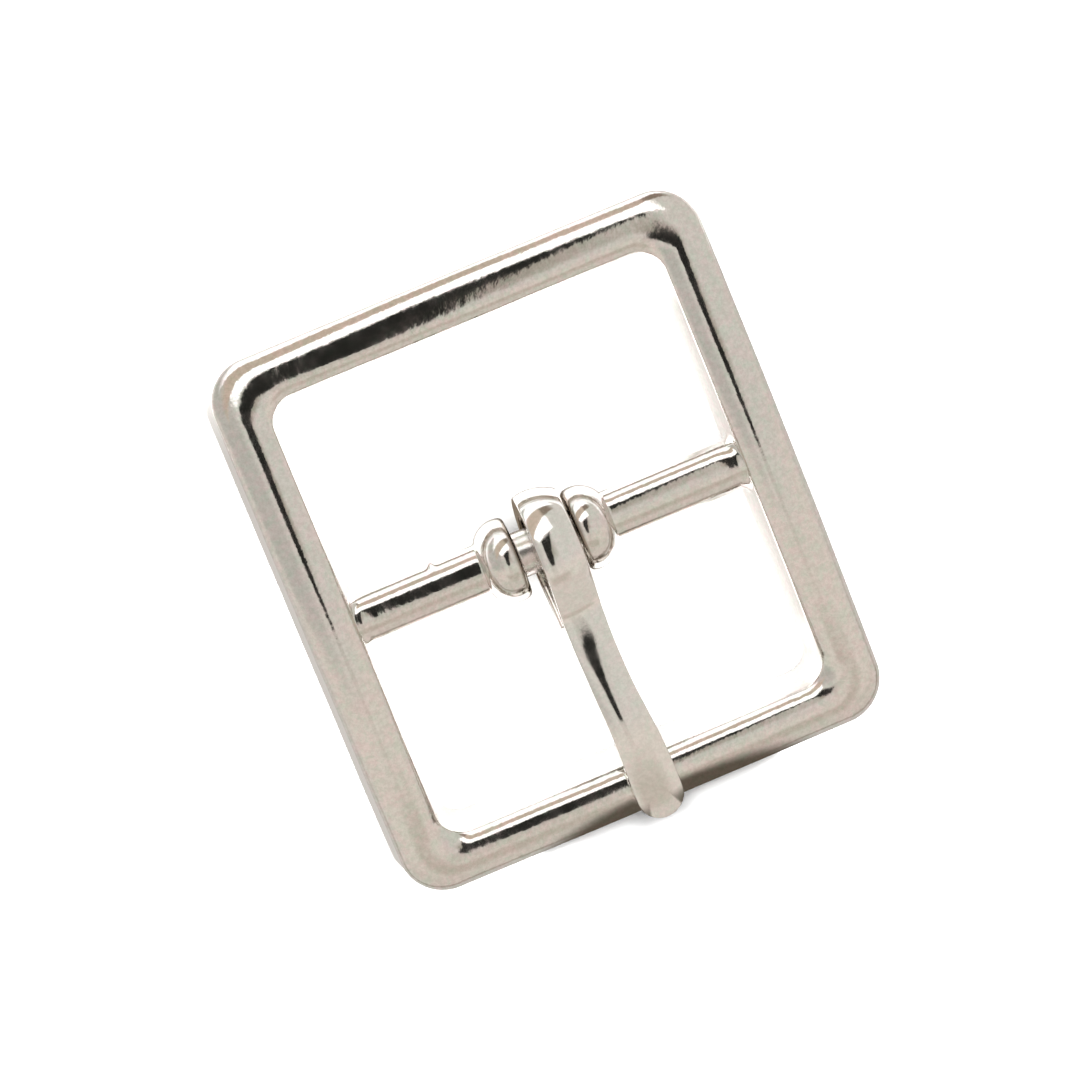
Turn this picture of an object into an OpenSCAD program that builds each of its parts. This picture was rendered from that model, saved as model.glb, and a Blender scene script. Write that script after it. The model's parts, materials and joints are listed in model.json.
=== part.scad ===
// Centre bar strap buckle, resting on its back. X runs along the bar, Y towards the
// end of the frame that the tongue points away from, Z up. The origin is on the
// surface below the middle of the whole buckle, tongue's tip included.

/* [Frame] */
// Outer width of the frame along the bar
frame_w = 34.2; // [30:0.1:40]
// Outer length of the frame across the bar
frame_l = 37; // [33:0.1:44]
// Width of a rail at its back
rail_w = 4.1; // [3.6:0.1:4.8]
// Width of a rail's dome, between the two creases where the side walls end
dome_w = 3.3; // [2.8:0.1:3.5]
// Height of the side walls, from the back to the creases
wall_h = 3.4; // [3.2:0.1:4]
// Height of a rail at the crown of its dome
rail_h = 4.15; // [3.9:0.05:4.8]
// Radius of the frame's outer corners
outer_r = 3.1; // [2.6:0.1:3.6]
// Radius of the fillets inside the frame's corners
inner_r = 1.6; // [1:0.1:2.2]
// Radius of the arch that lifts the middle of the side rails
arch_r = 115; // [100:5:140]
// Depth of the flats that the two end rails rest on
rest_cut = 0.12; // [0.06:0.02:0.2]

/* [Bar] */
// Diameter of the bar
bar_d = 3; // [2.6:0.1:3.2]
// Height of the bar's axis above the back of the side rails
bar_h = 1.92; // [1.85:0.01:2.1]
// Radius of the fillet where the bar meets a side rail
bar_fillet = 0.6; // [0.3:0.1:0.8]
// Largest diameter of the two collars
collar_d = 5.6; // [5:0.1:5.8]
// Length of a collar's bead, from its flat face to its crease
bead_l = 2.42; // [2:0.02:2.8]
// Gap between the flat faces of the two collars
collar_gap = 4; // [3.8:0.1:4.4]

/* [Tongue] */
// Width of the tongue's strip
tongue_w = 2.9; // [2.4:0.1:3.1]
// Thickness of the strip at the crown of its dome
tongue_t = 1.4; // [1.2:0.05:1.5]
// Height of the strip's side walls
tongue_wall = 0.75; // [0.5:0.05:0.9]
// Diameter of the rounded tip
tip_d = 3.2; // [3:0.1:3.6]
// Distance of the tongue's middle from the frame's middle, along the bar
tongue_x = 0.25; // [-0.3:0.05:0.3]

/* [Hidden] */
$fn = 96;

// Frame
metal = [0.78, 0.77, 0.74];
lap = 0.08;                             // how far a stretch runs into the one before it
slim = 0.006;                           // how much slimmer it is there, so that it stays inside
half_w = frame_w / 2;
corner = rail_w + inner_r;              // outer edge to the centre of an inner fillet
arch_end = frame_l / 2 - corner;        // arch ends where the corners begin
tilt = asin(arch_end / arch_r);         // slope of the frame's two ends
arch_rise = arch_r * (1 - cos(tilt)) + corner * sin(tilt) - rest_cut;
edge_r = 0.25;                          // rounding of the back's edges
dome_r = (pow(dome_w / 2, 2) + pow(rail_h - wall_h, 2)) / (2 * (rail_h - wall_h));

// Bar and collars
bar_z = arch_rise + bar_h;
bead_r = 1.6;                           // curvature of the bead along the bar
bead_x = 0.9;                           // flat face to the bead's widest place
rim_r = 0.5;                            // rounding between bead and flat face
flare_l = 0.9;                          // crease of the bead to the plain bar
fillet_drop = 0.2;                      // how far a bar fillet stays from creases and back

// Tongue: the strip's crest, above and in front of the bar's axis
crest_y = -1.1;
crest_z = 3.86;
// Runs of the strip from its crest: [kind, radius of the inner face or length, angle]
TO_TIP = [
    ["bend", 1.6, 16],
    ["straight", 3.5, 0],
    ["dip", 3.4, 20],
    ["bend", 68.6, 8.6],
    ["bend", 20, 3],
];
TO_TAIL = [
    ["bend", 4.6, 35],
    ["bend", 1.2, 55],
    ["bend", 2.3, 122],
    ["straight", 4.75, 0],
];

// Where the inner face of a strip of runs ends: [y, z, heading]
function strip_end(runs, i = 0, p = [0, 0, 0]) =
    i == len(runs) ? p : strip_end(runs, i + 1, run_end(runs[i], p));
function run_end(run, p) =
    let (
        size = run[1],
        a = p[2],
        b = a + (run[0] == "dip" ? run[2] : -run[2]),
        turn = (run[0] == "dip" ? size : -size) * [sin(b) - sin(a), cos(a) - cos(b)]
    )
    run[0] == "straight"
        ? [p[0] + size * cos(a), p[1] + size * sin(a), a]
        : [p[0] + turn[0], p[1] + turn[1], b];

tip_end = strip_end(TO_TIP);
tip_reach = tip_end[0] + tip_d / 2 * cos(tip_end[2]) - tongue_wall * sin(tip_end[2]) - crest_y;
mid_y = (tip_reach - frame_l / 2) / 2;  // the bar's axis, from the middle of the whole

// Points of an arc, which can leave out its first point where another arc ends there
function arc(centre, r, from, to, steps, first = 0) =
    [for (i = [first:steps]) let (a = from + (to - from) * i / steps) centre + r * [cos(a), sin(a)]];

function lap_angle(r) = lap / r * 180 / PI;

// Rail outline: u across the rail, v up from its back
module rail_outline(inset = 0) {
    half = rail_w / 2;
    lean = atan((half - dome_w / 2) / wall_h);
    span = asin(dome_w / 2 / dome_r);
    polygon(concat(
        arc([half - edge_r, edge_r], edge_r - inset, -90, lean, 3),
        arc([0, rail_h - dome_r], dome_r - inset, 90 - span, 90 + span, 12),
        arc([edge_r - half, edge_r], edge_r - inset, 180 - lean, 270, 3)
    ));
}

// Straight rail along X, centred on the origin
module straight_rail(length) {
    rotate([90, 0, 90])
        linear_extrude(length, center = true)
            rail_outline();
}

// Quarter turn of the rail outline, whose middle runs at the given radius
module turned_rail(radius) {
    rotate_extrude(angle = 90)
        intersection() {
            translate([radius, 0])
                rail_outline();
            square([radius + rail_w, rail_h + 1]);
        }
}

// Side rail, arched along Y
module side_rail() {
    translate([half_w - rail_w / 2, 0, arch_rise - arch_r])
        rotate([0, 90, 0])
            rotate([0, 0, 180 - tilt - lap_angle(arch_r)])
                rotate_extrude(angle = 2 * (tilt + lap_angle(arch_r)))
                    translate([arch_r, 0])
                        rotate(-90)
                            rail_outline(slim);
}

// One end of the frame, with its two corners, in the plane where the arch ends
module end_rail() {
    translate([0, arch_end, arch_rise - arch_r * (1 - cos(tilt))])
        rotate([-tilt, 0, 0]) {
            translate([0, corner - rail_w / 2, 0])
                straight_rail(frame_w - 2 * outer_r);
            for (side = [0, 1]) mirror([side, 0, 0]) {
                translate([half_w - rail_w / 2, (corner - outer_r) / 2, 0])
                    rotate(90)
                        straight_rail(corner - outer_r);
                translate([half_w - corner, 0, 0])
                    turned_rail(corner - rail_w / 2);
                translate([half_w - outer_r, corner - outer_r, 0])
                    turned_rail(outer_r - rail_w / 2);
            }
        }
}

// Half of the bar's outline: x is the radius, y the distance from the middle
module bar_outline() {
    bar_r = bar_d / 2;
    face = collar_gap / 2;
    bead_top = [collar_d / 2 - bead_r, face + bead_x];
    rim_a = asin((bead_x - rim_r) / (bead_r - rim_r));
    rim = [bead_top.x + (bead_r - rim_r) * cos(rim_a), face + rim_r];
    crease_a = asin((bead_l - bead_x) / bead_r);
    crease = bead_top + bead_r * [cos(crease_a), sin(crease_a)];
    flare_r = (pow(flare_l, 2) + pow(crease.x - bar_r, 2)) / (2 * (crease.x - bar_r));
    flare_a = asin(flare_l / flare_r);
    polygon(concat(
        [[0, 0], [bar_r, 0], [bar_r, face]],
        arc(rim, rim_r, -90, -rim_a, 4),
        arc(bead_top, bead_r, -rim_a, crease_a, 10, 1),
        arc([bar_r + flare_r, crease.y + flare_l], flare_r, 180 + flare_a, 180, 4, 1),
        [[bar_r, half_w - rail_w / 2], [0, half_w - rail_w / 2]]
    ));
}

module bar() {
    for (side = [0, 1]) mirror([side, 0, 0])
        translate([0, 0, bar_z])
            rotate([0, 90, 0])
                rotate_extrude()
                    bar_outline();
}

// Fillets between the bar and the side rails, kept between the rails' creases and backs
module bar_fillets() {
    outer = bar_d / 2 + bar_fillet;
    core = bar_d / 4;
    root = half_w - rail_w + bar_h * (rail_w - dome_w) / 2 / wall_h;
    buried = half_w - rail_w / 2;
    for (side = [0, 1]) mirror([side, 0, 0])
        intersection() {
            translate([0, 0, bar_z])
                rotate([0, 90, 0])
                    rotate_extrude()
                        polygon(concat(
                            arc([outer, root - bar_fillet], bar_fillet, 180, 90, 5),
                            [[outer, buried], [core, buried], [core, root - bar_fillet]]
                        ));
            translate([0, -rail_w, arch_rise + fillet_drop])
                cube([half_w, 2 * rail_w, wall_h - 2 * fillet_drop]);
        }
}

module frame() {
    color(metal)
        translate([0, mid_y, 0])
            difference() {
                union() {
                    for (side = [0, 1]) mirror([side, 0, 0])
                        side_rail();
                    for (end = [0, 1]) mirror([0, end, 0])
                        end_rail();
                    bar();
                    bar_fillets();
                }
                translate([-frame_w, -frame_l, -rail_h])
                    cube([2 * frame_w, 2 * frame_l, rail_h]);
            }
}

// Strip outline: x is the height above the inner face, y across the strip
module strip_outline(width, inset = 0) {
    half = width / 2 - inset;
    rise = tongue_t - tongue_wall;
    r = (pow(width / 2, 2) + rise * rise) / (2 * rise);
    span = asin(half / (r - inset));
    polygon(concat(
        [[inset, half], [inset, -half]],
        arc([tongue_t - r, 0], r - inset, -span, span, 10)
    ));
}

// One run of the strip, along Y from the origin, with its inner face down
module run(kind, size, angle, inset) {
    if (kind == "straight")
        translate([0, size, 0])
            rotate([90, 0, 0])
                linear_extrude(size + lap)
                    rotate(90)
                        strip_outline(tongue_w, inset);
    if (kind == "bend")
        translate([0, 0, -size])
            rotate([0, 90, 0])
                rotate([0, 0, 180 - angle])
                    rotate_extrude(angle = angle + lap_angle(size))
                        translate([size, 0])
                            strip_outline(tongue_w, inset);
    if (kind == "dip")
        translate([0, 0, size])
            rotate([0, 90, 0])
                rotate([0, 0, -lap_angle(size)])
                    rotate_extrude(angle = angle + lap_angle(size))
                        translate([size, 0])
                            mirror([1, 0])
                                strip_outline(tongue_w, inset);
}

// Moves its children to the end of a run
module past(kind, size, angle) {
    if (kind == "straight")
        translate([0, size, 0]) children();
    if (kind == "bend")
        translate([0, 0, -size]) rotate([-angle, 0, 0]) translate([0, 0, size]) children();
    if (kind == "dip")
        translate([0, 0, size]) rotate([angle, 0, 0]) translate([0, 0, -size]) children();
}

// Lays the runs end to end, and the children after the last one
module strip(runs, i = 0) {
    if (i < len(runs)) {
        run(runs[i][0], runs[i][1], runs[i][2], i * slim);
        past(runs[i][0], runs[i][1], runs[i][2])
            strip(runs, i + 1)
                children();
    } else {
        children();
    }
}

// Rounded, domed end of the strip
module tip() {
    rotate_extrude()
        intersection() {
            rotate(90)
                strip_outline(tip_d);
            square([tip_d, tongue_t]);
        }
}

module tongue() {
    color(metal)
        translate([tongue_x, mid_y + crest_y, bar_z + crest_z - tongue_t]) {
            mirror([0, 1, 0])
                strip(TO_TIP)
                    tip();
            translate([0, -lap, 0])
                strip(TO_TAIL);
        }
}

frame();
tongue();
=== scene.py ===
import json
import math

import bpy
import numpy as np
from mathutils import Matrix, Vector, noise


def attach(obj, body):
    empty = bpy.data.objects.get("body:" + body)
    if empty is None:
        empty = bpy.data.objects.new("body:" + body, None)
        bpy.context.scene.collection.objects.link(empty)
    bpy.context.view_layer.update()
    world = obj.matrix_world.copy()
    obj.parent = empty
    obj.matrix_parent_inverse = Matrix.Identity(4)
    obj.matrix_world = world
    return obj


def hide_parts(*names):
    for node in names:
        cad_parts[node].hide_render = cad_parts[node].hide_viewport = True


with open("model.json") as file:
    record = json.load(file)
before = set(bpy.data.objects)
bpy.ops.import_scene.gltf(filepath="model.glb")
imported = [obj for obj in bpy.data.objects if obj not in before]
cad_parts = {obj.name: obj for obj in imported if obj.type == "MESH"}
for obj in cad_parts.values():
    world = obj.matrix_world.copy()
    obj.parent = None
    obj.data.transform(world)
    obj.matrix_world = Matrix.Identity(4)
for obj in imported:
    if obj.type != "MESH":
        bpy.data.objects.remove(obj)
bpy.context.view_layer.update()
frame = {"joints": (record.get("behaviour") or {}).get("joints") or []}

# Lengths are in millimetres and angles in degrees where nothing else is said
MM = 0.001
PIVOT = [value / MM for value in frame["joints"][0]["pos_m"]]
MID_Y = PIVOT[1]
BAR_Z = PIVOT[2]

# Frame, with the same driving sizes as the solids
FRAME_W = 34.2
FRAME_L = 37.0
RAIL_W = 4.1
DOME_W = 3.3
WALL_H = 3.4
RAIL_H = 4.15
OUTER_R = 3.1
INNER_R = 1.6
ARCH_R = 115.0
REST_CUT = 0.12
FOOT_R = 0.25
CREASE_L = 0.12
CORNER = RAIL_W + INNER_R
ARCH_END = FRAME_L / 2 - CORNER

# The arch's slope at its ends, in radians, and its length and rise
TILT = math.asin(ARCH_END / ARCH_R)
ARCH_L = ARCH_R * TILT
ARCH_RISE = ARCH_R * (1 - math.cos(TILT)) + CORNER * math.sin(TILT) - REST_CUT

# Bar and collars
BAR_R = 1.5
BAR_H = BAR_Z - ARCH_RISE
BAR_FILLET = 0.6
FILLET_SINK = 0.02
FACE_X = 2.0
FACE_ROOT = 0.12
COLLAR_R = 2.8
BEAD_R = 1.8
BEAD_X = 0.75
BEAD_TURN = 62
RIM_R = 0.4
FLARE_L = 0.07

# Tongue: runs of the strip's inner face from the tail's end to the centre of the tip, each
# with its kind, the radius of the inner face or the length, and the angle that it turns
TAIL_RUNS = [
    ("straight", 5.0, 0),
    ("bend", 2.3, 116),
    ("bend", 1.2, 55),
    ("bend", 5.3, 35),
]
TIP_RUNS = [
    ("bend", 1.6, 27),
    ("straight", 1.9, 0),
    ("dip", 2.6, 32),
    ("straight", 6.8, 0),
    ("bend", 22.0, 13),
    ("bend", 20.0, 2),
]
CREST_Y = -1.1
CREST_Z = 3.86
TONGUE_X = 0.25
TONGUE_T = 1.4
TONGUE_WALL = 0.95
TONGUE_EDGE = 0.12

# Widths of the tongue, and between which distances past its crest it comes to each
TAIL_W = 2.8
LOOP_W = 2.85
LOOP_FADE = (-3, 0)
SHAFT_W = 2.68
SHAFT_FADE = (0, 7)
TIP_W = 3.14
TIP_FROM = 8

# How the real tongue strays, as tables of (distance past its crest, amount): it rolls to one
# side in degrees, wanders sideways, and has a share of its dome's height flattened
ROLLS = [(-9, 9), (1.5, 9), (3, 3), (5, -3), (7.6, 0.4), (11.5, 5.7), (16, 3), (19, 2)]
WANDER = [(-9, -0.3), (-4, 0.0), (0, 0.0), (6, -0.2), (9, -0.14), (13, 0.1), (19, 0.1)]
DENTS = [(-9, 0), (-4, 0.3), (0.5, 0.3), (5, 0.82), (6.2, 0.82), (12.2, 0.1), (14.2, 0.36), (19, 0.36)]

# Distances over which each of those tables is averaged, so that it has no kinks
SPREAD = np.linspace(-0.9, 0.9, 7)

# The collars sit off the middle, by a shift that fades out along the bar
COLLAR_SHIFT = -0.22
SHIFT_FADE = (6, 12)

# The bar is a flattened oval beyond its collars, its upper half wider towards +Y, and is fuller
# at its roots
OVAL_FAR = 1.17
OVAL_NEAR = 1.07
OVAL_UP = 0.9
OVAL_POWER = 2.3
ROOT_L = 1.1

# The crowns of the end rails are levelled and skew by a share, the far one is lower, and the
# near rail leans in
FAR_FLAT = 0.27
FAR_LEVEL = 0.8
FAR_SKEW = 0.25
NEAR_LEVEL = 1.2
NEAR_SKEW = 0.2
NEAR_LEAN = 0.12

# A small burr of casting flash on the bar's far side, with its turn and spread in radians
BURR_X = -7.6
BURR_L = 0.2
BURR_H = 0.22
BURR_TURN = 0.3
BURR_SPREAD = 0.25

# Size and length of the slight waves in the cast frame and in the strip, and their noise's seed
CAST_WAVES = (0.02, 5)
STRIP_WAVES = (0.012, 4)
WAVE_SEED = 5

# How finely the meshes follow their shapes, in steps. The last two are the distance between
# the tongue's sections and the length that its bends are eased over.
BACK_STEPS = 5
FOOT_STEPS = 4
WALL_STEPS = 6
CREASE_STEPS = 4
DOME_STEPS = 14
LONG_STEPS = 72
SHORT_STEPS = 36
TURN_STEPS = 18
LOOP_STEPS = 8
FACE_STEPS = 5
RIM_STEPS = 6
BEAD_STEPS = 20
FLARE_STEPS = 12
BAR_SIDES = 72
BAR_STEPS = 60
FILLET_STEPS = 8
TIP_STEPS = 18
PATH_STEPS = 4000
STATION_L = 0.12
EASE_L = 0.35


def arc(centre, radius, start, end, steps):
    """Points on an arc from one angle to another, in degrees."""
    angles = np.radians(np.linspace(start, end, steps + 1))
    return [(centre[0] + radius * math.cos(a), centre[1] + radius * math.sin(a)) for a in angles]


def blend_corner(before, corner, after, steps):
    """Points that round a corner off, from a point before it to one after it."""
    points = []
    for t in np.linspace(0, 1, steps + 1):
        points.append(tuple(
            (1 - t) ** 2 * a + 2 * t * (1 - t) * b + t * t * c
            for a, b, c in zip(before, corner, after)
        ))
    return points


def between(start, end, steps):
    """Points strictly between two others, closer together towards both."""
    shares = 0.5 - 0.5 * np.cos(np.pi * np.arange(1, steps) / steps)
    return [tuple(a + (b - a) * t for a, b in zip(start, end)) for t in shares]


def domed_section(width, top_width, wall, height, foot_r, crease_l):
    """Closed outline of a domed strip or rail, as (across, up), from the middle of its back."""
    half = width / 2
    lean = math.degrees(math.atan2(half - top_width / 2, wall))
    rise = height - wall
    dome_r = ((top_width / 2) ** 2 + rise ** 2) / (2 * rise)
    span = math.degrees(math.asin(top_width / 2 / dome_r))
    foot = arc((half - foot_r, foot_r), foot_r, -90, lean, FOOT_STEPS)
    crease = (top_width / 2, wall)
    along = math.radians(90 + lean)
    below = (crease[0] - crease_l * math.cos(along), crease[1] - crease_l * math.sin(along))
    dome_start = 90 - span + math.degrees(crease_l / dome_r)
    dome = arc((0, height - dome_r), dome_r, dome_start, 90, DOME_STEPS)
    right = [(0, 0)] + between((0, 0), foot[0], BACK_STEPS) + foot
    right += between(foot[-1], below, WALL_STEPS)
    right += blend_corner(below, crease, dome[0], CREASE_STEPS) + dome[1:]
    left = [(-u, v) for u, v in reversed(right[1:-1])]
    return right + left


def grid_faces(rows, columns, closed_rows):
    """Quads of a grid of points whose columns close round on themselves."""
    faces = []
    for i in range(rows if closed_rows else rows - 1):
        for j in range(columns):
            a, b = i * columns, (i + 1) % rows * columns
            k = (j + 1) % columns
            faces.append((a + j, a + k, b + k, b + j))
    return faces


def make_object(name, points, faces):
    """Object made of a mesh in the row frame, from points in millimetres, smooth shaded."""
    mesh = bpy.data.meshes.new(name)
    mesh.from_pydata([tuple(MM * c for c in p) for p in points], [], faces)
    mesh.validate()
    mesh.shade_smooth()
    made = bpy.data.objects.new(name, mesh)
    bpy.context.scene.collection.objects.link(made)
    return made


def smooth_share(value, low, high):
    """0 at low, 1 at high, and a smooth rise between."""
    t = min(max((value - low) / (high - low), 0), 1)
    return t * t * (3 - 2 * t)


def waver(point, size, length):
    """A point moved a little by smooth noise, as a cast surface wanders."""
    shift = noise.noise_vector(Vector(point) / length)
    return tuple(c + size * s for c, s in zip(point, shift))


def rounded_outline(half_x, half_y, radius):
    """Points of a rounded rectangle, with the same number of points whatever its size."""
    cx, cy = half_x - radius, half_y - radius
    points = []
    for quarter, (sx, sy) in enumerate([(1, 1), (-1, 1), (-1, -1), (1, -1)]):
        points += arc((sx * cx, sy * cy), radius, 90 * quarter, 90 * quarter + 90, TURN_STEPS)
        start = points[-1]
        across = quarter % 2 == 0
        end = (-start[0], start[1]) if across else (start[0], -start[1])
        steps = SHORT_STEPS if across else LONG_STEPS
        points += [
            (start[0] + (end[0] - start[0]) * i / steps, start[1] + (end[1] - start[1]) * i / steps)
            for i in range(1, steps)
        ]
    return points


def arched(x, along, height):
    """Where a point of the flat frame lies once the frame is arched and stands on its ends."""
    bend = min(abs(along), ARCH_L) / ARCH_R
    beyond = max(abs(along) - ARCH_L, 0)
    y = (ARCH_R + height) * math.sin(bend) + beyond * math.cos(bend)
    z = ARCH_RISE - ARCH_R + (ARCH_R + height) * math.cos(bend) - beyond * math.sin(bend)
    return x, MID_Y + math.copysign(y, along), max(z, 0)


def ring_mesh():
    """The frame's ring of domed rail, as points and faces."""
    half_w, half_l = FRAME_W / 2, ARCH_L + CORNER
    outer = rounded_outline(half_w, half_l, OUTER_R)
    inner = rounded_outline(half_w - RAIL_W, half_l - RAIL_W, INNER_R)
    section = domed_section(RAIL_W, DOME_W, WALL_H, RAIL_H, FOOT_R, CREASE_L)
    points = []
    level = math.tan(TILT)
    for (xi, yi), (xo, yo) in zip(inner, outer):
        toward_y = (yo - yi) / math.hypot(xo - xi, yo - yi)
        flat = FAR_FLAT * max(toward_y, 0) ** 2
        share, skew = (FAR_LEVEL, FAR_SKEW) if toward_y > 0 else (NEAR_LEVEL, NEAR_SKEW)
        for u, v in section:
            lean_in = NEAR_LEAN * min(toward_y, 0) ** 2 * min(v / WALL_H, 1) * max(-2 * u / DOME_W, 0)
            t = (u + lean_in) / RAIL_W + 0.5
            lift = level * share * toward_y ** 2 * u * min(v / WALL_H, 1)
            if v > WALL_H:
                off = 2 * u / DOME_W
                lift -= flat * (1 - off ** 2)
                if u < 0:
                    lift += skew * toward_y ** 2 * off ** 2 * (1 - off ** 2)
            p = arched(xi + (xo - xi) * t, yi + (yo - yi) * t, v + lift)
            points.append(waver(p, *CAST_WAVES) if v > 0 else p)
    return points, grid_faces(len(outer), len(section), True)


def bar_outline():
    """Half of the bar's outline as (x, radius), and where the collar's bead turns into a flare."""
    bead = (FACE_X + BEAD_X, COLLAR_R - BEAD_R)
    rim_a = math.degrees(math.asin((BEAD_X - RIM_R) / (BEAD_R - RIM_R)))
    rim = (FACE_X + RIM_R, bead[1] + (BEAD_R - RIM_R) * math.cos(math.radians(rim_a)))
    points = [(0, BAR_R)] + between((0, BAR_R), (FACE_X - FACE_ROOT, BAR_R), LOOP_STEPS)
    points += arc((FACE_X - FACE_ROOT, BAR_R + FACE_ROOT), FACE_ROOT, -90, 0, FOOT_STEPS)
    points += between(points[-1], (FACE_X, rim[1]), FACE_STEPS)
    points += arc(rim, RIM_R, 180, 90 + rim_a, RIM_STEPS)
    points += arc(bead, BEAD_R, 90 + rim_a, 90 - BEAD_TURN, BEAD_STEPS)[1:]
    flare = points[-1]
    corner = (flare[0] + FLARE_L, BAR_R)
    points += blend_corner(flare, corner, (corner[0] + FLARE_L, BAR_R), FLARE_STEPS)[1:]
    return points, flare


def oval(turn, root):
    """Where the bar's oval lies at an angle, for a unit bar, and fuller at its roots."""
    across, up = math.cos(turn), math.sin(turn)
    wide = OVAL_FAR if across > 0 else OVAL_NEAR
    power = OVAL_POWER if across > 0 and up > 0 else 2
    reach = (abs(across) ** power + abs(up) ** power) ** (-1 / power)
    high = OVAL_UP + (1 - OVAL_UP) * root if up > 0 else 1
    return across * reach * wide, up * reach * high


def fillet_radius(turn):
    """Radius of the bar's end fillet, smaller where it nears the wall's crease or its foot."""
    up = math.sin(turn)
    if up == 0:
        return BAR_FILLET
    room = WALL_H - BAR_H - FILLET_SINK if up > 0 else BAR_H - FOOT_R
    return min(BAR_FILLET, max(FILLET_SINK, room / abs(up) - BAR_R))


def wall_at(turn, radius):
    """Where the side rail's sloping inner wall is, at an angle and a radius from the bar's axis."""
    draft = (RAIL_W - DOME_W) / 2 / WALL_H
    return FRAME_W / 2 - RAIL_W + draft * (BAR_H + radius * math.sin(turn))


def bar_rows(turns, outline):
    """Rows of (x, radius) round the bar, from its middle to its end inside the side rail."""
    rows = [[point] * len(turns) for point in outline]
    start_x = outline[-1][0]
    for i in range(1, BAR_STEPS + 1):
        row = []
        for turn in turns:
            fillet_x = wall_at(turn, BAR_R) - fillet_radius(turn)
            row.append((start_x + (fillet_x - start_x) * i / BAR_STEPS, BAR_R))
        rows.append(row)
    for swept in np.radians(np.linspace(0, 90, FILLET_STEPS + 1))[1:]:
        row = []
        for turn in turns:
            fillet = fillet_radius(turn)
            radius = BAR_R + fillet * (1 - math.cos(swept))
            sunk = FILLET_SINK * math.sin(swept)
            row.append((wall_at(turn, radius) - fillet * (1 - math.sin(swept)) + sunk, radius))
        rows.append(row)
    rows.append([(FRAME_W / 2 - RAIL_W + RAIL_W / 2, BAR_R)] * len(turns))
    return rows


def bar_mesh():
    """The bar with its collars and end fillets, as points and faces."""
    outline, (flare_x, flare_r) = bar_outline()
    start_x = outline[-1][0]
    wall_x = FRAME_W / 2 - RAIL_W
    turns = np.linspace(0, 2 * math.pi, BAR_SIDES, endpoint=False)
    rows = bar_rows(turns, outline)
    mirrored = [[(-x, radius) for x, radius in row] for row in reversed(rows[1:])]
    points = []
    for row in mirrored + rows:
        for turn, (x, radius) in zip(turns, row):
            root = min(max(1 - (wall_x - abs(x)) / ROOT_L, 0), 1) ** 2
            across, up = oval(turn, root)
            side, top = radius * across, radius * up
            if abs(x) < start_x:
                # The middle and the collars are round, and the flare turns into the oval
                share, round_r = 1.0, radius
                if abs(x) >= flare_x:
                    share, round_r = (radius - BAR_R) / (flare_r - BAR_R), flare_r
                side = BAR_R * across * (1 - share) + round_r * math.cos(turn) * share
                top = BAR_R * up * (1 - share) + round_r * math.sin(turn) * share
            x += COLLAR_SHIFT * (1 - smooth_share(abs(x), *SHIFT_FADE))
            off_burr = ((x - BURR_X) / BURR_L) ** 2 + ((turn - BURR_TURN) / BURR_SPREAD) ** 2
            burr = BURR_H * math.exp(-off_burr)
            y = MID_Y + side + burr * math.cos(BURR_TURN)
            z = BAR_Z + top + burr * math.sin(BURR_TURN)
            points.append(waver((x, y, z), *CAST_WAVES))
    count = len(mirrored + rows)
    faces = grid_faces(count, BAR_SIDES, False)
    faces.append(tuple(reversed(range(BAR_SIDES))))
    faces.append(tuple(range((count - 1) * BAR_SIDES, count * BAR_SIDES)))
    return points, [tuple(reversed(f)) for f in faces]


def union(body, other):
    """Joins another object to a body, as one closed mesh."""
    cut = body.modifiers.new("join", "BOOLEAN")
    cut.operation = "UNION"
    cut.solver = "EXACT"
    cut.object = other
    graph = bpy.context.evaluated_depsgraph_get()
    joined = bpy.data.meshes.new_from_object(body.evaluated_get(graph))
    body.modifiers.clear()
    body.data = joined
    joined.shade_smooth()
    bpy.data.objects.remove(other)


def tongue_path():
    """The strip's inner face as a list of (distance, y, z, heading), and where its crest is."""
    runs = []
    for kind, size, angle in TAIL_RUNS + TIP_RUNS:
        length = size if kind == "straight" else size * math.radians(angle)
        runs.append((length, math.radians(angle) if kind == "dip" else -math.radians(angle)))
    knots = np.concatenate([[0], np.cumsum([length for length, _ in runs])])
    turned = np.cumsum([0] + [turn for _, turn in runs])
    crest = knots[len(TAIL_RUNS)]
    headings = turned - turned[len(TAIL_RUNS)]
    fine = np.linspace(0, knots[-1], PATH_STEPS + 1)
    span = fine[1]
    heading = np.interp(fine, knots, headings)
    window = int(EASE_L / span)
    padded = np.pad(heading, window, mode="edge")
    heading = np.convolve(padded, np.ones(2 * window + 1) / (2 * window + 1), mode="valid")
    ahead = np.concatenate([[0], np.cumsum(np.cos(heading[:-1] / 2 + heading[1:] / 2)) * span])
    up = np.concatenate([[0], np.cumsum(np.sin(heading[:-1] / 2 + heading[1:] / 2)) * span])
    ahead -= np.interp(crest, fine, ahead)
    up -= np.interp(crest, fine, up)
    stations = []
    for s in np.linspace(0, knots[-1], int(knots[-1] / STATION_L) + 1):
        stations.append((
            s,
            MID_Y + CREST_Y - np.interp(s, fine, ahead),
            BAR_Z + CREST_Z - TONGUE_T + np.interp(s, fine, up),
            np.interp(s, fine, heading),
        ))
    return stations, crest


def strip_row(x, y, z, heading, section):
    """Points of a strip's section at a station, where up is square to its heading."""
    sin_h, cos_h = math.sin(heading), math.cos(heading)
    return [(x + u, y + v * sin_h, z + v * cos_h) for u, v in section]


def strip_section(width):
    """Section of the strip, which has the same width from its edges to its dome."""
    return domed_section(width, width, TONGUE_WALL, TONGUE_T, TONGUE_EDGE, TONGUE_EDGE)


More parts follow.
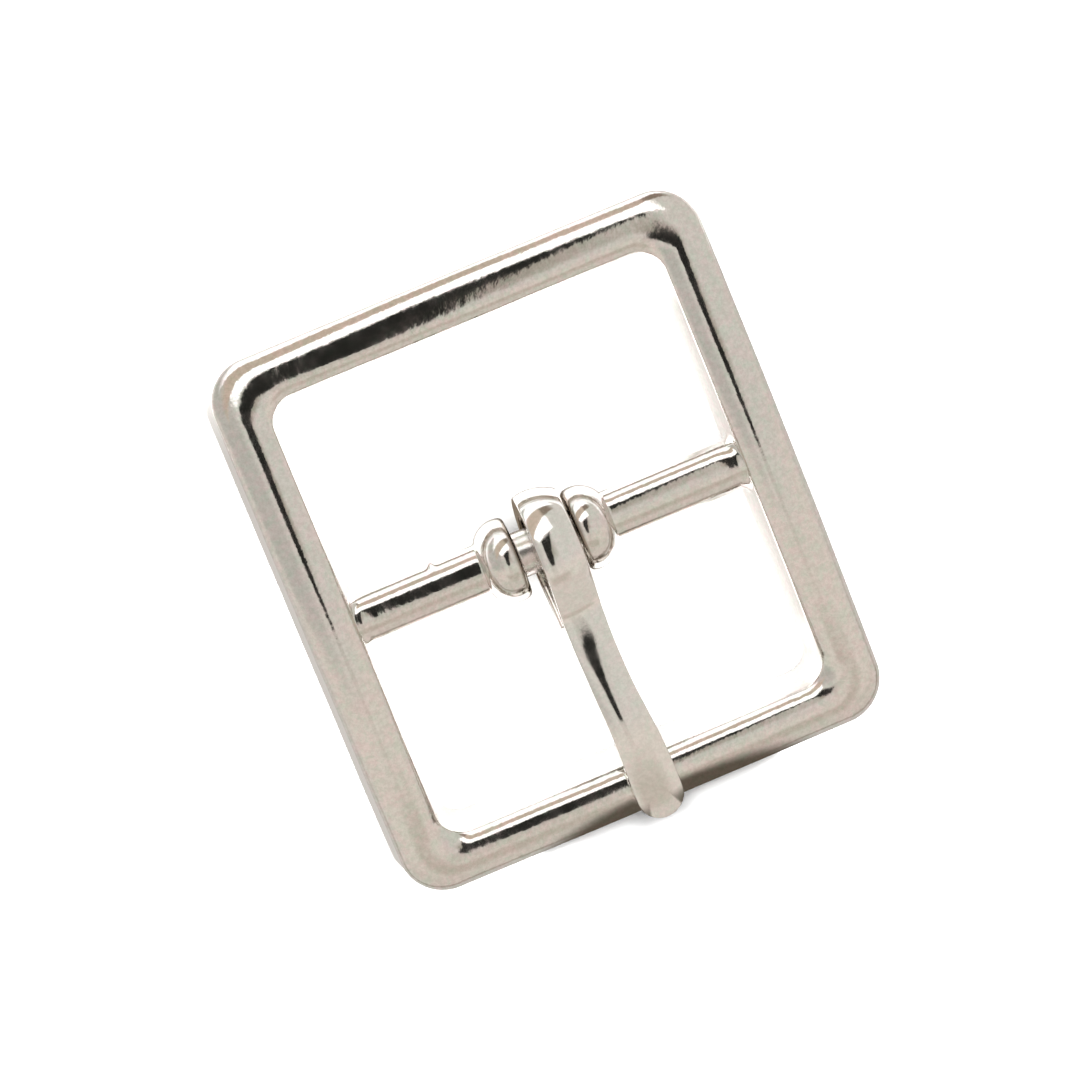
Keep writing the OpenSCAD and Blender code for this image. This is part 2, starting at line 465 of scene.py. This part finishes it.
def tip_section(ahead):
    """Section of the rounded tip, at a distance ahead of its centre."""
    radius = TIP_W / 2
    half = math.sqrt(max(radius ** 2 - ahead ** 2, 0))
    rise = TONGUE_T - TONGUE_WALL
    dome_r = (radius ** 2 + rise ** 2) / (2 * rise)
    section = []
    for u, v in strip_section(TIP_W):
        across = u * half / radius
        if v > TONGUE_WALL:
            off_axis = min(math.hypot(across, ahead), radius)
            v = TONGUE_T - dome_r + math.sqrt(dome_r ** 2 - off_axis ** 2)
        section.append((across, v))
    return section


def stray(table, past):
    """Amount that a table gives at a distance past the crest."""
    at, by = zip(*table)
    return float(np.mean(np.interp(past + SPREAD, at, by)))


def strayed(section, past):
    """A section rolled and flattened as the real tongue is, at a distance past the crest."""
    roll = math.tan(math.radians(stray(ROLLS, past)))
    dent = stray(DENTS, past)
    made = []
    for u, v in section:
        v -= dent * max(v - TONGUE_WALL, 0)
        made.append((u, v - roll * u * min(v / TONGUE_WALL, 1)))
    return made


def tongue_mesh():
    """The tongue's strip from the squared end of its tail to its rounded tip."""
    stations, crest = tongue_path()
    reach = stations[-1][0] - crest
    rows = []
    for s, y, z, heading in stations:
        past = s - crest
        width = TAIL_W + (LOOP_W - TAIL_W) * smooth_share(past, *LOOP_FADE)
        width += (SHAFT_W - LOOP_W) * smooth_share(past, *SHAFT_FADE)
        width += (TIP_W - SHAFT_W) * smooth_share(past, TIP_FROM, reach)
        x = TONGUE_X + stray(WANDER, past)
        rows.append(strip_row(x, y, z, heading, strayed(strip_section(width), past)))
    # The tip goes straight on from the last station
    for turn in np.radians(np.linspace(0, 90, TIP_STEPS + 1))[1:]:
        ahead = TIP_W / 2 * math.sin(turn)
        at_y, at_z = y - ahead * math.cos(heading), z + ahead * math.sin(heading)
        rows.append(strip_row(x, at_y, at_z, heading, strayed(tip_section(ahead), reach + ahead)))
    points = [waver(p, *STRIP_WAVES) for row in rows for p in row]
    faces = grid_faces(len(rows), len(rows[0]), False)
    faces.append(tuple(reversed(range(len(rows[0])))))
    return points, [tuple(reversed(f)) for f in faces]


# Sockets of the mix node that hold its two colours and its result
MIX_FIRST = 6
MIX_SECOND = 7
MIX_RESULT = 2


class Nodes:
    """Adds nodes to a tree and links them, in short calls."""

    def __init__(self, tree):
        self.tree = tree
        tree.nodes.clear()

    def add(self, kind, inputs=None, **settings):
        node = self.tree.nodes.new(kind)
        for name, value in settings.items():
            setattr(node, name, value)
        for name, value in (inputs or {}).items():
            if isinstance(value, bpy.types.NodeSocket):
                self.tree.links.new(value, node.inputs[name])
            else:
                node.inputs[name].default_value = value
        return node

    def math(self, operation, *values):
        node = self.add("ShaderNodeMath", dict(enumerate(values)), operation=operation)
        return node.outputs[0]

    def rise(self, value, low, high):
        """0 below low, 1 above high, smooth between. It falls where low is above high."""
        flip = low > high
        inputs = {"Value": value, "From Min": min(low, high), "From Max": max(low, high)}
        inputs["To Min"] = 1.0 if flip else 0.0
        inputs["To Max"] = 0.0 if flip else 1.0
        node = self.add("ShaderNodeMapRange", inputs, interpolation_type="SMOOTHSTEP")
        return node.outputs[0]

    def mask(self, places, limits):
        """Product of the rises along named places that a list of (name, low, high) gives."""
        share = None
        for name, low, high in limits:
            rise = self.rise(places[name], low, high)
            share = rise if share is None else self.math("MULTIPLY", share, rise)
        return share

    def noise(self, vector, scale, detail=2.0, roughness=0.5):
        inputs = {"Vector": vector, "Scale": scale, "Detail": detail, "Roughness": roughness}
        return self.add("ShaderNodeTexNoise", inputs).outputs["Fac"]

    def mix(self, share, first, second):
        inputs = {"Factor": share, MIX_FIRST: first, MIX_SECOND: second}
        return self.add("ShaderNodeMix", inputs, data_type="RGBA").outputs[MIX_RESULT]

    def split(self, vector):
        """The three coordinates of a vector."""
        parts = self.add("ShaderNodeSeparateXYZ", {0: vector}).outputs
        return parts["X"], parts["Y"], parts["Z"]


def colour(red, green, blue):
    return (red, green, blue, 1.0)


# Nickel plate: its colour, and mottles over it, each with the scale of its noise per metre, the
# noise's detail and roughness, the noise between which it fades in, and its colour
PLATE = colour(0.735, 0.71, 0.665)
MOTTLES = [
    (200.0, 2.0, 0.5, (0.40, 0.60), colour(0.75, 0.70, 0.655)),
    (900.0, 6.0, 0.75, (0.42, 0.62), colour(0.80, 0.69, 0.67)),
    (1200.0, 6.0, 0.75, (0.45, 0.65), colour(0.68, 0.71, 0.635)),
]
POLISHED = colour(0.98, 0.97, 0.95)

# Fine specks that make the plate darker and lighter, by a share towards two greys
SPECK_NOISE = (3000.0, 4.0, 0.8)
SPECK_FADE = (0.35, 0.65)
SPECK_SHARE = 0.15
SPECK_DARK = colour(0.3, 0.3, 0.3)
SPECK_LIGHT = colour(1.0, 1.0, 1.0)

# Patches that are more and less polished, as the least and most of the plate's roughness
POLISH_NOISE = (900.0, 4.0)
POLISH_FADE = (0.3, 0.75)
LEAST_ROUGH = 0.7
MOST_ROUGH = 1.4
GRAIN_DETAIL = 3.0

# Limits of the painted shade on the collars' rims, which stands in for the dark gap beside the
# tongue that they mirror, and of the dull middle of the bar
RIM_SHADE = colour(0.22, 0.18, 0.14)
RIM_LIMITS = [
    ("off_x", FACE_X + 0.42, FACE_X + 0.12),
    ("off_axis", BAR_R + 0.15, BAR_R + 0.45),
    ("off_axis", COLLAR_R + 0.5, COLLAR_R + 0.3),
]
MIDDLE_LIMITS = [
    ("off_x", FACE_X + 0.05, FACE_X - 0.1),
    ("off_y", BAR_R + 0.3, BAR_R + 0.1),
]


def plate_colour(nodes, place):
    """The plate's mottled colour at a place."""
    plate = PLATE
    for scale, detail, roughness, fade, tint in MOTTLES:
        share = nodes.rise(nodes.noise(place, scale, detail, roughness), *fade)
        plate = nodes.mix(share, plate, tint)
    specks = nodes.rise(nodes.noise(place, *SPECK_NOISE), *SPECK_FADE)
    deep = nodes.mix(SPECK_SHARE, plate, SPECK_DARK)
    return nodes.mix(specks, deep, nodes.mix(SPECK_SHARE, plate, SPECK_LIGHT))


def around_bar(nodes, place):
    """How far a place is from the collars' middle, and from the bar's axis, in millimetres."""
    x, y, z = (nodes.math("DIVIDE", part, MM) for part in nodes.split(place))
    off_y = nodes.math("ABSOLUTE", nodes.math("SUBTRACT", y, MID_Y))
    off_z = nodes.math("SUBTRACT", z, BAR_Z)
    squares = nodes.math("ADD", nodes.math("POWER", off_y, 2.0), nodes.math("POWER", off_z, 2.0))
    return {
        "off_x": nodes.math("ABSOLUTE", nodes.math("SUBTRACT", x, COLLAR_SHIFT)),
        "off_y": off_y,
        "off_axis": nodes.math("SQRT", squares),
    }


def nickel(name, roughness, grain, grain_size, bright=0.0, satin=0.0, rim_shade=0.0):
    """Bright nickel plate, a little mottled, over metal whose surface is not quite even.

    Satin is how much rougher the bar is inside the tongue's loop, where polishing cannot reach,
    and the last argument is how dark a painted shade makes the collars' rims beside it, standing
    in for the dark gap that they mirror.
    """
    material = bpy.data.materials.new(name)
    material.use_nodes = True
    nodes = Nodes(material.node_tree)
    place = nodes.add("ShaderNodeTexCoord").outputs["Object"]
    plate = nodes.mix(bright, plate_colour(nodes, place), POLISHED)
    near_bar = around_bar(nodes, place)
    # Painted shade: the collars' rims beside the tongue are darkened, for the dark gap they mirror
    rim = nodes.math("MULTIPLY", nodes.mask(near_bar, RIM_LIMITS), rim_shade)
    plate = nodes.mix(rim, plate, RIM_SHADE)
    dull = nodes.rise(nodes.noise(place, *POLISH_NOISE), *POLISH_FADE)
    rough = nodes.add("ShaderNodeMapRange", {
        "Value": dull,
        "To Min": roughness * LEAST_ROUGH,
        "To Max": roughness * MOST_ROUGH,
    }).outputs[0]
    duller = nodes.math("MULTIPLY", nodes.mask(near_bar, MIDDLE_LIMITS), satin)
    height = nodes.noise(place, 1 / (grain_size * MM), GRAIN_DETAIL)
    bump = nodes.add("ShaderNodeBump", {"Height": height, "Distance": grain * MM})
    surface = nodes.add("ShaderNodeBsdfPrincipled", {
        "Base Color": plate,
        "Metallic": 1.0,
        "Roughness": nodes.math("ADD", rough, duller),
        "Normal": bump.outputs[0],
    })
    nodes.add("ShaderNodeOutputMaterial", {"Surface": surface.outputs[0]})
    return material


# Paper under the buckle: its two tones, the scale of its noise per metre, and its roughness
PAPER_TONES = (colour(0.80, 0.80, 0.80), colour(0.81, 0.81, 0.805))
PAPER_SCALE = 60.0
PAPER_ROUGH = 0.9


def paper():
    """Plain white surface that the buckle lies on."""
    material = bpy.data.materials.new("paper")
    material.use_nodes = True
    nodes = Nodes(material.node_tree)
    place = nodes.add("ShaderNodeTexCoord").outputs["Object"]
    tone = nodes.mix(nodes.noise(place, PAPER_SCALE), *PAPER_TONES)
    surface = nodes.add("ShaderNodeBsdfPrincipled", {"Base Color": tone, "Roughness": PAPER_ROUGH})
    nodes.add("ShaderNodeOutputMaterial", {"Surface": surface.outputs[0]})
    return material


# Camera, from the photograph's edges: the distance, the lean from upright towards +X and +Y,
# the roll, and the point that it looks at. Its focal length is in pixels of the photograph,
# its sensor in millimetres, and what it sees lies between two distances in metres.
CAMERA_D = 245.7
LEAN_X = -2.895
LEAN_Y = 8.412
ROLL = 22.30
LOOK_AT = (-0.413, MID_Y + 0.108, 1.5)
FOCAL_PX = 3801
PHOTO_W = 1080
SENSOR = 36.0
CLIP_START = 0.01
CLIP_END = 10


def make_camera():
    """Camera at the photograph's place, which becomes the scene's camera."""
    lean = Vector((math.tan(math.radians(LEAN_X)), math.tan(math.radians(LEAN_Y)), 1)).normalized()
    level_x = Vector((0, 1, 0)).cross(lean).normalized()
    level_y = lean.cross(level_x)
    roll = math.radians(ROLL)
    right = math.cos(roll) * level_x - math.sin(roll) * level_y
    up = math.sin(roll) * level_x + math.cos(roll) * level_y
    place = MM * (Vector(LOOK_AT) + CAMERA_D * lean)
    data = bpy.data.cameras.new("camera")
    data.sensor_width = SENSOR
    data.lens = FOCAL_PX / PHOTO_W * SENSOR
    data.clip_start = CLIP_START
    data.clip_end = CLIP_END
    camera = bpy.data.objects.new("camera", data)
    camera.matrix_world = Matrix.Translation(place) @ Matrix((right, up, lean)).transposed().to_4x4()
    bpy.context.scene.collection.objects.link(camera)
    bpy.context.scene.camera = camera


# Cards of the studio, as their reach in x and y and their height, in millimetres. The one in
# front stands upright instead, and has a reach in x and z and a place in y
FLOOR = ((-1500, 1500), (-1500, 1500), 0)
OVERHEAD = ((-500, 500), (-500, 500), 78)
UNDER_BAR = ((-8, 8), (-7, 7), 0.2)
BESIDE = ((-1500, 1500), (-1500, 1500), 0.1)
FRONT_X = (-12, 15)
FRONT_Y = -19.3
FRONT_Z = (0.3, 9.6)

# Small flags that shade the paper under the front rail and the tongue's tip
FLAGS = [
    ("flag_low", (-8, 9), (-19.4, -18.8), 0.25),
    ("flag_wide", (-6, 8), (-20.2, -18.8), 0.9),
    ("flag_tip", (-1.6, 2.4), (-20.6, -19), 0.5),
]

# Tones of the overhead card, from its base up. A patch is painted over those before it, by a
# share, between limits along the places that overhead() works out, and where it turns into
# another tone it has the x between which it does.
ROOM_TONE = colour(0.655, 0.595, 0.525)
PATCHES = [
    {"tone": colour(0.84, 0.785, 0.715), "limits": [("aside", 22, 60)]},
    {"tone": colour(0.76, 0.71, 0.645), "limits": [("y", -70, -120)]},
    {"tone": colour(0.83, 0.78, 0.71), "limits": [("y", -55, -35)]},
    {
        "tone": colour(0.62, 0.605, 0.565),
        "limits": [("y", -31, -3)],
        "turn_x": (-45, -18),
        "other": colour(0.77, 0.75, 0.70),
    },
    {"tone": colour(0.82, 0.775, 0.725), "limits": [("aside", 150, 350)]},
    {
        "tone": colour(0.2, 0.15, 0.1),
        "limits": [("x", -15, -12), ("x", 4, 1), ("y", -60, -12)],
        "share": 0.16,
    },
    {
        "tone": colour(0.68, 0.57, 0.47),
        "limits": [("far", 60, 68), ("x", 160, 90), ("x", -90, -50)],
        "turn_x": (25, 45),
        "other": colour(0.3, 0.24, 0.19),
    },
    {
        "tone": colour(1.7, 1.7, 1.7),
        "limits": [("far", 130, 145), ("x", 300, 200), ("x", -110, -60)],
    },
    {
        "tone": colour(1.9, 1.9, 1.9),
        "limits": [("near", 36, 37.5), ("far", 66, 63), ("aside", 48, 36), ("cut", 10, 22)],
    },
    {
        "tone": colour(0.48, 0.45, 0.39),
        "limits": [("y", -6, 12), ("near", 35, 33), ("x", -1, 6), ("x", 28, 8)],
    },
]

# The softbox's near and far edges slope, about one x. The dark camera in front of it has a body
# that narrows below a y, and an arm that leaves it along a sloping line
BOX_X = -13.0
NEAR_SLOPE = 0.3
FAR_SLOPE = 0.6
BODY_Y = 6.0
BODY_SLOPE = 0.35
ARM_SLOPE = 1.5
BODY_LIMITS = [("left", -15.5, -13.0), ("right", 7.0, 3.5), ("y", -11, -7)]
ARM_LIMITS = [("arm", -4, 1), ("x", 30, 22), ("x", 2, 5)]
DARK_LIMITS = [("near", 35, 33.5)]
DARK_TONE = colour(0.02, 0.02, 0.018)

# The painted shadow in front: a brown patch that the front rail's shoulder mirrors, standing in
# for the shade on the floor before it. It is shaped like a lens, with a notch where the tongue's
# tip is, and has a height and a soft edge in each
FRONT_SHADOW_TONE = colour(0.13, 0.11, 0.085)
LENS_X = 1.5
LENS_HALF = 13.0
LENS_H = 9.5
LENS_SOFT = 4.0
NOTCH_X = 0.5
NOTCH_FADE = (1.3, 1.8)
NOTCH_H = 5.9
NOTCH_SOFT = 1.8

# The shade under the collars is an oval that fades outwards
SHADE_TONE = colour(0.26, 0.21, 0.16)
SHADE_HALF_X = 7.5
SHADE_HALF_Y = 6.0
SHADE_FADE = (1.0, 0.3)

# The painted reflection of the table beside the buckle, duller than the lit floor: its tones
# near it, far away and close under its walls, and the limits of each part that the walls mirror
NEAR_TONE = colour(0.70, 0.67, 0.635)
AWAY_TONE = colour(0.75, 0.725, 0.69)
LIT_TONE = colour(1.0, 0.96, 0.92)
AWAY_LIMITS = [("aside", 17.0, 40.0)]
LIT_LIMITS = [("aside", 17.0, 16.0), ("y", -18.6, -18.0)]
SIDES_LIMITS = [("aside", 17.0, 17.3)]
FRONT_LIMITS = [("y", -18.6, -18.9)]
BACK_END_LIMITS = [("y", 24, 12)]
BEHIND_LIMITS = [("y", 20.8, 22.5)]
STRIP_LIMITS = [("x", 10.0, 11.5), ("x", 13.2, 11.6), ("along", 13.0, 10.5)]

# The room: how strongly it lights the paper, and what the metal mirrors of it low in front, at
# the sides and behind, with the shares of +Y between which each turns into the next
ROOM_LIGHT = 3.6
WHITE = colour(1.0, 1.0, 1.0)
FRONT_TONE = colour(0.5, 0.45, 0.4)
SIDE_TONE = colour(0.78, 0.74, 0.69)
BEHIND_TONE = colour(1.4, 1.4, 1.4)
SIDE_FADE = (-0.5, -0.1)
BEHIND_FADE = (0.0, 0.4)


def sheet(name, x_range, y_range, height):
    """Flat sheet over the scene."""
    (x0, x1), (y0, y1) = x_range, y_range
    corners = [(x0, y0, height), (x1, y0, height), (x1, y1, height), (x0, y1, height)]
    made = make_object(name, corners, [(0, 1, 2, 3)])
    return made


def reflected_only(card, material):
    """A card that the metal mirrors, but that neither the camera nor the floor sees."""
    card.data.materials.append(material)
    card.visible_camera = False
    card.visible_diffuse = False
    card.visible_shadow = False


class Glow(Nodes):
    """Nodes of a material that glows, with the places on it in millimetres."""

    def __init__(self, name):
        self.material = bpy.data.materials.new(name)
        self.material.use_nodes = True
        super().__init__(self.material.node_tree)
        parts = self.split(self.add("ShaderNodeTexCoord").outputs["Object"])
        self.x, self.y, self.z = (self.math("DIVIDE", part, MM) for part in parts)
        self.places = {
            "x": self.x,
            "y": self.y,
            "aside": self.math("ABSOLUTE", self.x),
            "along": self.math("ABSOLUTE", self.y),
        }

    def within(self, limits):
        return self.mask(self.places, limits)

    def shine(self, tone, share=1.0):
        """The material with a tone, clear where the share is 0."""
        light = self.add("ShaderNodeEmission", {"Color": tone, "Strength": 1.0})
        clear = self.add("ShaderNodeBsdfTransparent")
        both = self.add("ShaderNodeMixShader", {0: share, 1: clear.outputs[0], 2: light.outputs[0]})
        self.add("ShaderNodeOutputMaterial", {"Surface": both.outputs[0]})
        return self.material


def overhead():
    """What hangs over the table: the dark camera, a softbox beyond it and a tan wall past that."""
    card = Glow("overhead")
    x, y = card.x, card.y
    across = card.math("SUBTRACT", x, BOX_X)
    near = card.math("SUBTRACT", y, card.math("MULTIPLY", across, NEAR_SLOPE))
    below = card.math("MAXIMUM", card.math("SUBTRACT", BODY_Y, y), 0.0)
    narrowing = card.math("MULTIPLY", below, BODY_SLOPE)
    card.places.update({
        "near": near,
        "far": card.math("SUBTRACT", y, card.math("MULTIPLY", across, FAR_SLOPE)),
        "cut": card.math("ADD", near, x),
        "left": card.math("SUBTRACT", x, narrowing),
        "right": card.math("ADD", x, narrowing),
        "arm": card.math("SUBTRACT", near, card.math("MULTIPLY", x, ARM_SLOPE)),
    })
    tone = ROOM_TONE
    for patch in PATCHES:
        share = card.within(patch["limits"])
        if "share" in patch:
            share = card.math("MULTIPLY", share, patch["share"])
        paint = patch["tone"]
        if "other" in patch:
            paint = card.mix(card.rise(x, *patch["turn_x"]), paint, patch["other"])
        tone = card.mix(share, tone, paint)
    dark = card.math("MAXIMUM", card.within(BODY_LIMITS), card.within(ARM_LIMITS))
    dark = card.math("MULTIPLY", dark, card.within(DARK_LIMITS))
    return card.shine(card.mix(dark, tone, DARK_TONE))


def painted_front_shadow():
    """Painted shadow in front, a dark brown patch that the front rail's shoulder mirrors."""
    card = Glow("painted_front_shadow")
    off = card.math("DIVIDE", card.math("SUBTRACT", card.x, LENS_X), LENS_HALF)
    lens = card.math("SUBTRACT", 1.0, card.math("MULTIPLY", off, off))
    off_notch = card.math("ABSOLUTE", card.math("SUBTRACT", card.x, NOTCH_X))
    aside = card.rise(off_notch, *NOTCH_FADE)
    height = card.math("ADD", NOTCH_H, card.math("MULTIPLY", aside, LENS_H - NOTCH_H))
    soft = card.math("ADD", NOTCH_SOFT, card.math("MULTIPLY", aside, LENS_SOFT - NOTCH_SOFT))
    top = card.math("SUBTRACT", card.math("MULTIPLY", lens, height), card.z)
    return card.shine(FRONT_SHADOW_TONE, card.rise(card.math("DIVIDE", top, soft), 0.0, 1.0))


def under_bar():
    """Brown shade on the floor under the collars, that their flanks mirror."""
    card = Glow("under_bar")
    across = card.math("DIVIDE", card.x, SHADE_HALF_X)
    along = card.math("DIVIDE", card.y, SHADE_HALF_Y)
    reach = card.math("ADD", card.math("MULTIPLY", across, across), card.math("MULTIPLY", along, along))
    return card.shine(SHADE_TONE, card.rise(reach, *SHADE_FADE))


def beside():
    """Painted reflection of a duller table beside and in front of the buckle, that its outer walls
    mirror.
    """
    card = Glow("beside")
    tone = card.mix(card.within(AWAY_LIMITS), NEAR_TONE, AWAY_TONE)
    tone = card.mix(card.within(LIT_LIMITS), tone, LIT_TONE)
    outside = card.math("MAXIMUM", card.within(SIDES_LIMITS), card.within(FRONT_LIMITS))
    outside = card.math("MULTIPLY", outside, card.within(BACK_END_LIMITS))
    outside = card.math("MAXIMUM", outside, card.within(BEHIND_LIMITS))
    return card.shine(tone, card.math("MAXIMUM", outside, card.within(STRIP_LIMITS)))


def make_cards():
    """White floor, the cards that the bright metal mirrors, and flags that shade the floor."""
    sheet("floor", *FLOOR).data.materials.append(paper())
    reflected_only(sheet("overhead", *OVERHEAD), overhead())
    # The card in front is a painted shadow, which only the front rail's shoulder mirrors
    (x0, x1), (z0, z1) = FRONT_X, FRONT_Z
    corners = [(x0, FRONT_Y, z0), (x1, FRONT_Y, z0), (x1, FRONT_Y, z1), (x0, FRONT_Y, z1)]
    front = make_object("painted_front_shadow", corners, [(0, 1, 2, 3)])
    reflected_only(front, painted_front_shadow())
    reflected_only(sheet("under_bar", *UNDER_BAR), under_bar())
    # The sheet beside is a painted reflection of the table, seen only in the metal
    reflected_only(sheet("beside", *BESIDE), beside())
    for flag_place in FLAGS:
        flag = sheet(*flag_place)
        flag.visible_camera = False
        flag.visible_glossy = False


def make_room():
    """Soft light from all round on the floor, with plainer tones where the metal mirrors it."""
    world = bpy.data.worlds.new("studio")
    bpy.context.scene.world = world
    world.use_nodes = True
    nodes = Nodes(world.node_tree)
    ray = nodes.add("ShaderNodeLightPath").outputs
    _, toward_y, _ = nodes.split(nodes.add("ShaderNodeTexCoord").outputs["Generated"])
    horizon = nodes.mix(nodes.rise(toward_y, *SIDE_FADE), FRONT_TONE, SIDE_TONE)
    horizon = nodes.mix(nodes.rise(toward_y, *BEHIND_FADE), horizon, BEHIND_TONE)

    def background(tone, strength):
        return nodes.add("ShaderNodeBackground", {"Color": tone, "Strength": strength}).outputs[0]

    def either(share, first, second):
        return nodes.add("ShaderNodeMixShader", {0: share, 1: first, 2: second}).outputs[0]

    lit = either(ray["Is Diffuse Ray"], background(horizon, 1.0), background(WHITE, ROOM_LIGHT))
    seen = either(ray["Is Camera Ray"], lit, background(WHITE, 1.0))
    nodes.add("ShaderNodeOutputWorld", {"Surface": seen})


noise.seed_set(WAVE_SEED)
ring = make_object("buckle_frame", *ring_mesh())
bar = make_object("bar", *bar_mesh())
union(ring, bar)
ring.data.materials.clear()
# The frame's collars get a painted shade on their rims beside the tongue
ring.data.materials.append(
    nickel("frame_nickel", roughness=0.09, grain=0.011, grain_size=0.55, satin=0.16, rim_shade=0.9)
)
tongue = make_object("buckle_tongue", *tongue_mesh())
tongue.data.materials.append(
    nickel("tongue_nickel", roughness=0.08, grain=0.004, grain_size=0.6, bright=0.22)
)
for piece, node in ((ring, "frame"), (tongue, "tongue")):
    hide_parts(node)
    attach(piece, node)

make_camera()
make_cards()
make_room()
bpy.context.scene.view_settings.view_transform = "Standard"
